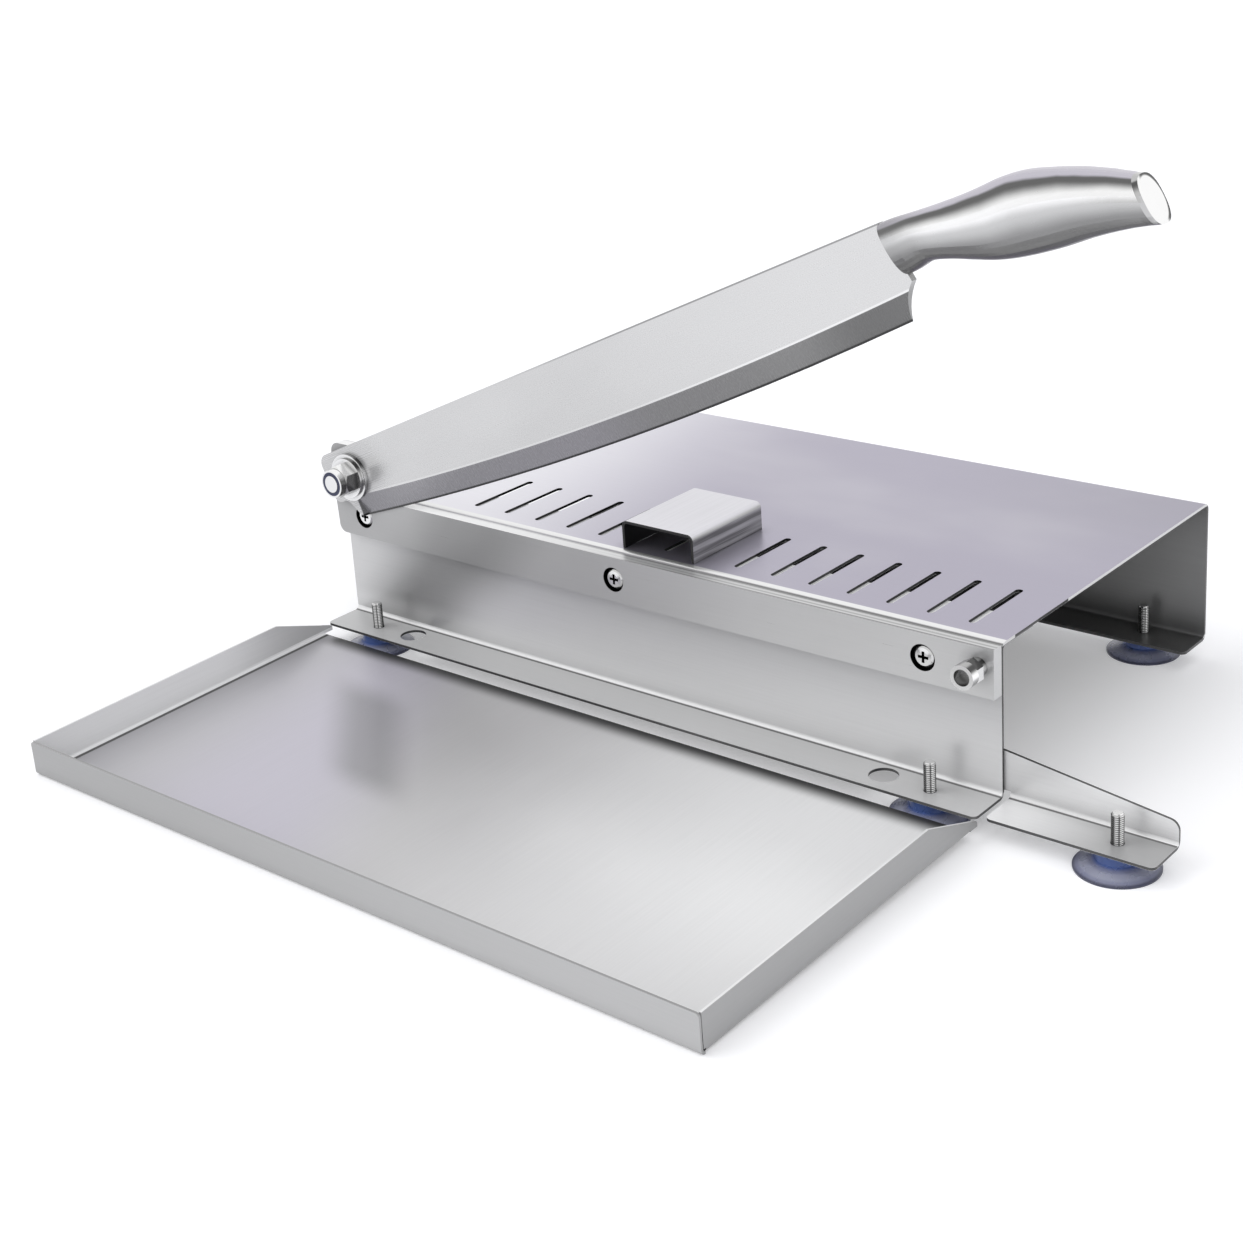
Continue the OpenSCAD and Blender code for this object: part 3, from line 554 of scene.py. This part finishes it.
stopLook = {
    **steelLook,
    "grain": (900, 14, 900),
    "streakGrain": (1, 9, 320),
    "grainTone": 0.2,
    "metal": 0.7,
    "shadowReach": 6,
    "top": screen(221, 220, 225),
    "side": screen(184),
    "sideStreak": screen(122),
    "inside": screen(42),
    "cut": screen(60),
    "span": (208.85, 256.35),
    "wall": 1.4,
    "wallSoft": 0.08,
    "upTurn": (0.3, 0.8),
    "endTurn": (0.6, 0.8),
    "streakFrom": (0.38, 0.62),
}


def stopMetal(look):
    s = Surface("stopSteel")
    x = s.fromTable()[0]
    low, high = look["span"]
    up = s.normalZ.ramp(*look["upTurn"])
    inner = x.within(low + look["wall"], high - look["wall"], look["wallSoft"]) * (1 - up)
    streak = s.noise(look["streakGrain"], rough=0.6).ramp(*look["streakFrom"])
    # The top is painted lighter and the side faces darker as light and shade, with darker streaks from
    # noise, and painted shade inside and on the end faces
    colour = s.layers(
        s.mix(streak, look["sideStreak"], look["side"]),
        (up, look["top"]),
        (inner, look["inside"]),
        (s.normalY.size().ramp(*look["endTurn"]), look["cut"]),
    )
    return brushed(s, colour, s.strokes(look["grain"]), look, look["metal"])


dress(stopMetal(stopLook), "length_stop")
print("length stop dressed")


barLook = {
    "grain": (18, 1400, 1400),
    "cloud": (9, 9, 9),
    "metal": 0.5,
    "roughness": 0.30,
    "roughnessRange": 0.12,
    "grainTone": 0.08,
    "bump": 0.000015,
    "shadowReach": 7,
    "shadow": 0.6,
    "face": screen(207),
    "faceMiddle": screen(184),
    "faceDark": screen(150),
    "faceLeft": screen(170),
    "top": screen(240),
    "topFar": screen(200),
    "line": screen(132),
    "end": screen(206),
    "bore": screen(14),
    "patch": (62, 12, 58),
    "leftEnd": (10, 70),
    "rightFrom": (190, 330),
    "topTurns": (60, 300),
    "linesFrom": (150, 330),
    "rearLine": (-1.6, -0.9),
    "middleLine": (-3.8, 0.4, 0.4),
    "frontLine": (-6.3, -5.5),
    "boreRadius": (6.95, 0.15),
    "boreFrom": (-6.95, -6.8),
    "cloudFrom": (0.45, 0.8),
}


def barMetal(look):
    s = Surface("barSteel")
    x, y, z = s.fromTable()
    top = s.normalZ.ramp(*square)
    right = x.ramp(*look["linesFrom"])
    # Painted reflection tones of the face, lighter to the right and darker at the left end, with the
    # painted shade patch; a painted highlight on the top with painted shade lines along it, and painted
    # shade in the screw bores
    colour = s.layers(
        s.mix(x.ramp(*look["rightFrom"]), look["faceMiddle"], look["face"]),
        (1 - x.ramp(*look["leftEnd"]), look["faceLeft"]),
        (slantPatch(x, z, look["patch"]), look["faceDark"]),
        (s.normalX.ramp(*square), look["end"]),
        (top, s.mix(x.ramp(*look["topTurns"]), look["top"], look["topFar"])),
        (top * y.ramp(*look["rearLine"]) * lineShare(x), look["line"]),
        (top * y.band(*look["middleLine"]) * right, look["line"], 0.6),
        (top * (1 - y.ramp(*look["frontLine"])) * right, look["line"]),
        (s.noise(look["cloud"]).ramp(*look["cloudFrom"]), look["top"], 0.12),
        (nearestScrew(x, z).upTo(*look["boreRadius"]) * y.ramp(*look["boreFrom"]), look["bore"]),
    )
    return brushed(s, colour, s.strokes(look["grain"]), look, look["metal"])


dress(barMetal(barLook), "fixed_bar")
print("bar dressed")


hinge = next(j for j in frame["joints"] if j["name"] == "blade_hinge")
armLook = {"restAngle": 23.9}  # degrees by which the blade stands up in the CAD


# A point's and its normal's share along the raised blade and up from its line, counted from the pivot
def armFrame(s):
    px, _, pz = hinge["pos_m"]
    turn = math.radians(armLook["restAngle"])
    cos, sin = math.cos(turn), math.sin(turn)
    across, rise = s.x - px, s.z - pz
    u, v = (across * cos + rise * sin) / mm, (rise * cos - across * sin) / mm
    return u, v, s.normalX * cos + s.normalZ * sin, s.normalZ * cos - s.normalX * sin


bladeLook = {
    "lines": (0.02, 1.6, 1.6),
    "ground": (1.1, 1.1, 0.05),
    "cloud": (0.012, 0.02, 0.03),
    "roughness": 0.27,
    "roughnessRange": 0.12,
    "grainTone": 0.05,
    "bump": 0.00001,
    "shadowReach": 3,
    "shadow": 0.12,
    "face": screen(198),
    "faceFar": screen(212),
    "bevelTail": screen(146, 145, 149),
    "bevel": screen(163, 162, 166),
    "bevelMiddle": screen(150),
    "bevelFar": screen(119),
    "bevelBands": ((10, 60, "bevel"), (180, 250, "bevelMiddle"), (330, 385, "bevelFar")),
    "lip": screen(238),
    "keen": screen(58),
    "spineEdge": screen(120),
    "heel": screen(150),
    "edgeCentre": (230.938, 2626.05),
    "edgeRadius": 2660.62,
    "bevelWidth": 12.8,
    "bevelSoft": 0.1,
    "bevelStart": (-3.2, -2.4),
    "lipBeyond": 0.5,
    "lipWidth": (0.3, 0.4),
    "keenWidth": (0.8, 1.5),
    "spine": 17.5,
    "spineLine": (0.4, 0.3, 0.3),
    "cloudFrom": (0.3, 0.8),
    "heelTurn": (0.6, 0.9),
    "faceTurns": (150, 390),
    "lipAlong": (200, 330),
    "spineAlong": (120, 260),
    "nearPivot": (16, 40),
}


def bladeMetal(look):
    s = Surface("bladeSteel")
    u, v, normalU, normalV = armFrame(s)
    own = s.join(u, s.y / mm, v)
    cu, cv = look["edgeCentre"]
    fromEdge = look["edgeRadius"] - reach(u - cu, v - cv)
    front = (0 - s.normalY).ramp(*square)
    start = u.ramp(*look["bevelStart"])
    width, soft = look["bevelWidth"], look["bevelSoft"]
    bevel = front * (1 - fromEdge.ramp(width - soft, width + soft)) * start
    lip = front * fromEdge.band(width + look["lipBeyond"], *look["lipWidth"]) * start
    spine = front * (look["spine"] - v).band(*look["spineLine"]) * u.ramp(*look["spineAlong"])
    cloud = s.noise(look["cloud"], place=own).ramp(*look["cloudFrom"])
    # Painted reflection and shade: the face lighter towards the far end, a painted highlight along the
    # bevel's shoulder, darker painted reflection tones on the bevel, a painted shade line under the
    # spine, and painted shade on the end and spine faces
    colour = s.layers(
        s.mix(u.ramp(*look["faceTurns"]), look["face"], look["faceFar"]),
        (cloud, look["faceFar"], 0.35),
        (lip * (0.3 + u.ramp(*look["lipAlong"]) * 0.5), look["lip"]),
        (bevel, s.layers(look["bevelTail"], *bands(u, look, look["bevelBands"]))),
        (spine, look["spineEdge"], 0.7),
        (normalU.ramp(*square), look["heel"]),
        (normalV.ramp(*look["heelTurn"]), look["heel"]),
        (1 - fromEdge.ramp(*look["keenWidth"]), look["keen"]),
    )
    ground = s.noise(look["ground"], rough=0.6, place=own)
    grain = s.strokes(look["lines"], own).towards(ground, bevel)
    nearPivot = 1 - reach(u, v).ramp(*look["nearPivot"])
    return brushed(s, colour, grain, look, 1 - bevel * 0.6 - nearPivot * (1 - bevel) * 0.6)


dress(bladeMetal(bladeLook), "blade")
print("blade dressed")


# The outline goes by distance from the pivot: how high each section's middle lies, and half its height
handleLook = {
    "fine": (0.12, 1.4, 1.4),
    "cloud": (0.03, 0.05, 0.05),
    "cloudSway": 0.12,
    "roughness": 0.26,
    "roughnessRange": 0.08,
    "grainTone": 0.06,
    "bump": 0.00001,
    "shadowReach": 4,
    "shadow": 0.4,
    "under": screen(124),
    "low": screen(140),
    "bright": screen(243),
    "middleTone": screen(196),
    "dark": screen(104),
    "crown": screen(196, 193, 203),
    "bolster": screen(120),
    "bands": (
        (-0.95, -0.5, "low"),
        (-0.5, 0.04, "middleTone"),
        (-0.02, 0.28, "bright"),
        (0.36, 0.7, "dark"),
        (0.77, 0.86, "crown"),
    ),
    "bolsterUntil": (411, 440),
    "middle": (
        (411, 4.3), (426, 4.8), (445, 1.4), (466, -1.9), (480, -2.7), (504, -6.2), (524, -11.4),
        (537, -16.1),
    ),
    "half": (
        (411, 12.9), (426, 11.7), (445, 14.0), (460, 16.5), (476, 18.1), (489, 18.1), (504, 16.2),
        (524, 13.1), (537, 11.3),
    ),
}


# The painted reflection bands along a handle, as satin steel shows them, go by height in the section,
# from -1 to 1
def handleMetal(look):
    s = Surface("handleSteel")
    u, v = armFrame(s)[:2]
    own = s.join(u, s.y / mm, v)
    sway = (s.noise(look["cloud"], place=own) - 0.5) * look["cloudSway"]
    rise = (v - u.through(*look["middle"])) / u.through(*look["half"]) + sway
    colour = s.layers(
        look["under"],
        *bands(rise, look, look["bands"]),
        (1 - u.ramp(*look["bolsterUntil"]), look["bolster"], 0.5),
    )
    return brushed(s, colour, s.noise(look["fine"], rough=0.6, place=own), look)


dress(handleMetal(handleLook), "handle")


capLook = {
    "cloud": (160, 160, 160),
    "roughness": 0.12,
    "roughnessRange": 0.10,
    "grainTone": 0.03,
    "bump": 0.000005,
    "shadowReach": 2,
    "shadow": 0.3,
    "face": screen(250),
    "side": screen(190),
    "rim": screen(92),
    "bands": ((0.36, 0.7, "rim"), (0.77, 0.86, "side")),
    "middle": (-9.15, -16.1),
    "half": (8.8, 11.3),
    "rimReach": (0.86, 0.95),
    "rimSide": (-0.2, 0.2),
}


# A painted highlight on the end face with a painted shade rim, and painted reflection bands on the sides
def capMetal(look):
    s = Surface("capSteel")
    _, v, normalU, _ = armFrame(s)
    y = s.fromTable()[1]
    middleY, middleV = look["middle"]
    halfY, halfV = look["half"]
    across, rise = (y - middleY) / halfY, (v - middleV) / halfV
    rim = reach(across, rise).ramp(*look["rimReach"]) * (across + rise * 0.4).ramp(*look["rimSide"])
    face = normalU.ramp(*square)
    colour = s.layers(
        look["side"],
        *bands(rise, look, look["bands"]),
        (face, look["face"]),
        (face * rim, look["rim"]),
    )
    return brushed(s, colour, s.noise(look["cloud"]), look)


dress(capMetal(capLook), "handle_end_cap")
print("handle dressed")


# The painted reflection bands go by how far a face looks up. The painted shade in hollows lies within a
# radius and a depth in mm
fastenerLook = {
    "cloud": (160, 160, 160),
    "roughness": 0.17,
    "roughnessRange": 0.14,
    "grainTone": 0.08,
    "bump": 0.000006,
    "shadowReach": 3,
    "shadow": 0.7,
    "face": screen(226),
    "bright": screen(246),
    "middle": screen(178),
    "dark": screen(84),
    "hollow": screen(20),
    "base": "middle",
    "bands": ((-0.2, 0.15, "bright"), (0.35, 0.7, "dark"), (0.85, 0.97, "middle")),
    "recessRadius": (3.1, 0.2),
    "recessDepth": (-6.3, -3.9, 0.1),
    "gapRadius": (5.2, 0.2),
    "gapFrom": (-30, -29),
    "boreRadius": (4.1, 0.15),
}


# Small bright pieces that lie along Y, with painted highlights on their end faces, painted reflection
# bands down their sides and painted shade in their hollows
def fastenerMetal(name, look, hollow):
    s = Surface(name)
    colour = s.layers(
        look[look["base"]],
        *bands(s.normalZ, look, look["bands"]),
        (s.normalY.size().ramp(*endOn), look["face"]),
        (hollow(look, *s.fromTable()), look["hollow"]),
    )
    return brushed(s, colour, s.noise(look["cloud"]), look)


def crossRecess(look, x, y, z):
    return nearestScrew(x, z).upTo(*look["recessRadius"]) * y.within(*look["recessDepth"])


def pivotGaps(look, x, y, z):
    return fromAxis(x, z, model["pivot"]).upTo(*look["gapRadius"]) * y.ramp(*look["gapFrom"])


def stopBore(look, x, y, z):
    return fromAxis(x, z, model["stop"]).upTo(*look["boreRadius"])


# The pivot nut is painted darker with a painted highlight band on its upper faces, and the stop nut's
# bore carries a lighter painted shade
nutLook = {**fastenerLook, "dark": screen(128), "base": "dark", "bands": ((0.3, 0.7, "bright"),)}
stopNutLook = {**fastenerLook, "hollow": screen(116)}

screws = fastenerMetal("screwSteel", fastenerLook, crossRecess)
dress(screws, "bar_screws", "bar_screw_washers", "bar_screw_nuts")
washers = fastenerMetal("pivotSteel", fastenerLook, pivotGaps)
dress(washers, "pivot_head_washer", "pivot_washer", "pivot_disc_spring")
dress(fastenerMetal("pivotNutSteel", nutLook, pivotGaps), "pivot_nut")
dress(fastenerMetal("stopNutSteel", stopNutLook, stopBore), "stop_nut", "stop_sleeve")


threadLook = {
    **fastenerLook,
    "bump": 0.0003,
    "roughness": 0.2,
    "shadow": 0.5,
    "groove": screen(92),
    "grooveFrom": (0.4, 1.0),
    "paleSide": (-0.4, 0.15, 0.25),
    "brightSide": (0.42, 0.2, 0.25),
    "towardsRight": (0.756, 0.655),  # share of X and Y in the direction to the picture's right
    "endCloud": 0.05,
}


# Threaded pieces: a fine pitch in mm along the axis, painted shade in the grooves, painted reflection
# bands down the sides and a painted highlight on the flat ends
def threadMetal(name, look, upright, pitch):
    s = Surface(name)
    rightX, rightY = look["towardsRight"]
    along, end = (s.z, s.normalZ) if upright else (s.y, s.normalY)
    turn = s.normalX * rightX + s.normalY * rightY if upright else s.normalZ
    height = (along * (2 * math.pi / (pitch * mm))).math("SINE") * 0.5 + 0.5
    flat = end.size().ramp(*endOn)
    colour = s.layers(
        look["dark"],
        (turn.band(*look["paleSide"]), look["face"]),
        (turn.band(*look["brightSide"]), look["bright"]),
        ((1 - height).ramp(*look["grooveFrom"]), look["groove"], 0.6),
        (flat, look["face"]),
    )
    grain = height * (1 - flat) + s.noise(look["cloud"]) * flat * look["endCloud"]
    return brushed(s, colour, grain, look)


dress(threadMetal("boltSteel", threadLook, False, 1.5), "pivot_bolt", "stop_stud")
feet = ("front_left", "front_right", "rear_left", "rear_right", "outrigger")
dress(threadMetal("studSteel", threadLook, True, 1.0), *["stud_" + foot for foot in feet])
print("fasteners dressed")


ringLook = {
    "cloud": (500, 500, 500),
    "roughness": 0.35,
    "roughnessRange": 0.15,
    "bump": 0.00002,
    "navy": screen(30, 38, 72),
}


def ringPlastic(look):
    s = Surface("ringNylon")
    cloud = s.noise(look["cloud"], 2.0)
    roughness = look["roughness"] + (cloud - 0.5) * look["roughnessRange"]
    return s.finish(Base_Color=look["navy"], Roughness=roughness, Normal=s.bump(cloud, look["bump"]))


dress(ringPlastic(ringLook), "pivot_nut_insert")


# The rings of tone go by distance from the cup's middle, with the rim at 0.5
cupLook = {
    "cloud": (120, 120, 120),
    "roughness": 0.28,
    "roughnessRange": 0.2,
    "bump": 0.00005,
    "transmission": 0.45,
    "ior": 1.45,
    "hub": screen(88, 116, 186),
    "skirt": screen(150, 153, 178),
    "cloudy": screen(205, 208, 222),
    "rim": screen(84, 86, 108),
    "skirtFrom": (0.24, 0.31),
    "cloudyRing": (0.38, 0.03, 0.04),
    "rimFrom": (0.455, 0.495),
}


def cupVinyl(look):
    s = Surface("cupVinyl")
    across, along, _ = s.split(s.make("ShaderNodeTexCoord", out="Generated"))
    fromMiddle = reach(across - 0.5, along - 0.5)
    cloud = s.noise(look["cloud"], 2.0)
    colour = s.layers(
        look["hub"],
        (fromMiddle.ramp(*look["skirtFrom"]), look["skirt"]),
        (fromMiddle.band(*look["cloudyRing"]), look["cloudy"], 0.4),
        (fromMiddle.ramp(*look["rimFrom"]), look["rim"]),
    )
    return s.finish(
        Base_Color=colour,
        Roughness=look["roughness"] + (cloud - 0.5) * look["roughnessRange"],
        Transmission_Weight=look["transmission"],
        IOR=look["ior"],
        Normal=s.bump(cloud, look["bump"]),
    )


dress(cupVinyl(cupLook), *["cup_" + foot for foot in feet])
print("cups and ring dressed")


stageLook = {
    "floor": (0.82, 0.82, 0.83),
    "half": 6.0,
    "glow": 0.24,
    "sky": (0.95, 0.96, 1.0),
    "skyStrength": 0.5,
}

# Direction, strength, and angle in degrees of each lamp
lamps = {
    "topLamp": ((0.1, 0.1, -1), 1.2, 80),
    "leftLamp": ((1, 0.8, -0.9), 0.9, 50),
    "rightLamp": ((-1, 0.8, -0.8), 0.4, 50),
}


# 1 for the rays that show the background, straight, in metal or through the cups
def seenRay(tree):
    path = tree.nodes.new("ShaderNodeLightPath")
    kinds = ["Is Camera Ray", "Is Glossy Ray", "Is Transmission Ray"]
    camera, glossy, through = [Value(tree, path.outputs[kind]) for kind in kinds]
    return camera.most(glossy).most(through)


def buildFloor(look):
    half = look["half"]
    data = bpy.data.meshes.new("floor")
    corners = [(-half, -half, 0), (half, -half, 0), (half, half, 0), (-half, half, 0)]
    data.from_pydata(corners, [], [(0, 1, 2, 3)])
    floor = bpy.data.objects.new("floor", data)
    bpy.context.scene.collection.objects.link(floor)
    material = bpy.data.materials.new("floorPaper")
    material.use_nodes = True
    tree = material.node_tree
    tree.nodes.clear()
    paper = makeNode(tree, "ShaderNodeBsdfDiffuse", None, {"Color": look["floor"]})
    glow = makeNode(tree, "ShaderNodeEmission", None, {"Color": (1, 1, 1), "Strength": look["glow"]})
    lit = makeNode(tree, "ShaderNodeAddShader", None, {0: paper, 1: glow})
    both = makeNode(tree, "ShaderNodeMixShader", None, {0: seenRay(tree), 1: paper, 2: lit})
    makeNode(tree, "ShaderNodeOutputMaterial", None, {0: both})
    data.materials.append(material)


def buildWorld(look):
    world = bpy.data.worlds.new("studio")
    bpy.context.scene.world = world
    world.use_nodes = True
    tree = world.node_tree
    tree.nodes.clear()
    skyLight = {"Color": look["sky"], "Strength": look["skyStrength"]}
    sky = makeNode(tree, "ShaderNodeBackground", None, skyLight)
    white = makeNode(tree, "ShaderNodeBackground", None, {"Color": (1, 1, 1), "Strength": 1.0})
    both = makeNode(tree, "ShaderNodeMixShader", None, {0: seenRay(tree), 1: sky, 2: white})
    makeNode(tree, "ShaderNodeOutputWorld", None, {0: both})


# A wide, soft lamp. The steel mirrors the white surroundings and not the lamps
def addLamp(name, towards, strength, spread):
    data = bpy.data.lights.new(name, "SUN")
    data.energy, data.angle = strength, math.radians(spread)
    lamp = bpy.data.objects.new(name, data)
    lamp.rotation_mode = "QUATERNION"
    lamp.rotation_quaternion = Vector(towards).to_track_quat("-Z", "Y")
    lamp.visible_glossy = False
    bpy.context.scene.collection.objects.link(lamp)


buildFloor(stageLook)
buildWorld(stageLook)
for name, lamp in lamps.items():
    addLamp(name, *lamp)
print("stage built")


# Angles in degrees, and the place in mm from the table's left front edge on the bench
cameraLook = {
    "azimuth": 40.93,
    "elevation": 17.94,
    "roll": -3.834,
    "at": (886.6, -771.0, 483.7),
    "focalPixels": 2078.5,
    "middlePixel": (621.5, 440.0),
    "framePixels": 1243,
    "sensor": 36,  # mm
    "clip": (0.05, 50),  # m
}


def addCamera(look):
    a, e, r = (math.radians(look[k]) for k in ("azimuth", "elevation", "roll"))
    back = Vector((math.sin(a) * math.cos(e), -math.cos(a) * math.cos(e), math.sin(e)))
    right = Vector((math.cos(a), math.sin(a), 0))
    up = back.cross(right)
    side = math.cos(r) * right + math.sin(r) * up
    top = math.cos(r) * up - math.sin(r) * right
    data = bpy.data.cameras.new("camera")
    data.sensor_width = look["sensor"]
    pixels = look["framePixels"]
    middleX, middleY = look["middlePixel"]
    data.lens = look["focalPixels"] / pixels * data.sensor_width
    data.shift_x = (pixels / 2 - middleX) / pixels
    data.shift_y = (middleY - pixels / 2) / pixels
    data.clip_start, data.clip_end = look["clip"]
    camera = bpy.data.objects.new("camera", data)
    ox, oy = model["origin"]
    x, y, z = look["at"]
    turn = Matrix((side, top, back)).transposed().to_4x4()
    camera.matrix_world = Matrix.Translation(Vector((x - ox, y - oy, z)) * mm) @ turn
    bpy.context.scene.collection.objects.link(camera)
    bpy.context.scene.camera = camera


addCamera(cameraLook)
bpy.context.scene.view_settings.view_transform = "Standard"
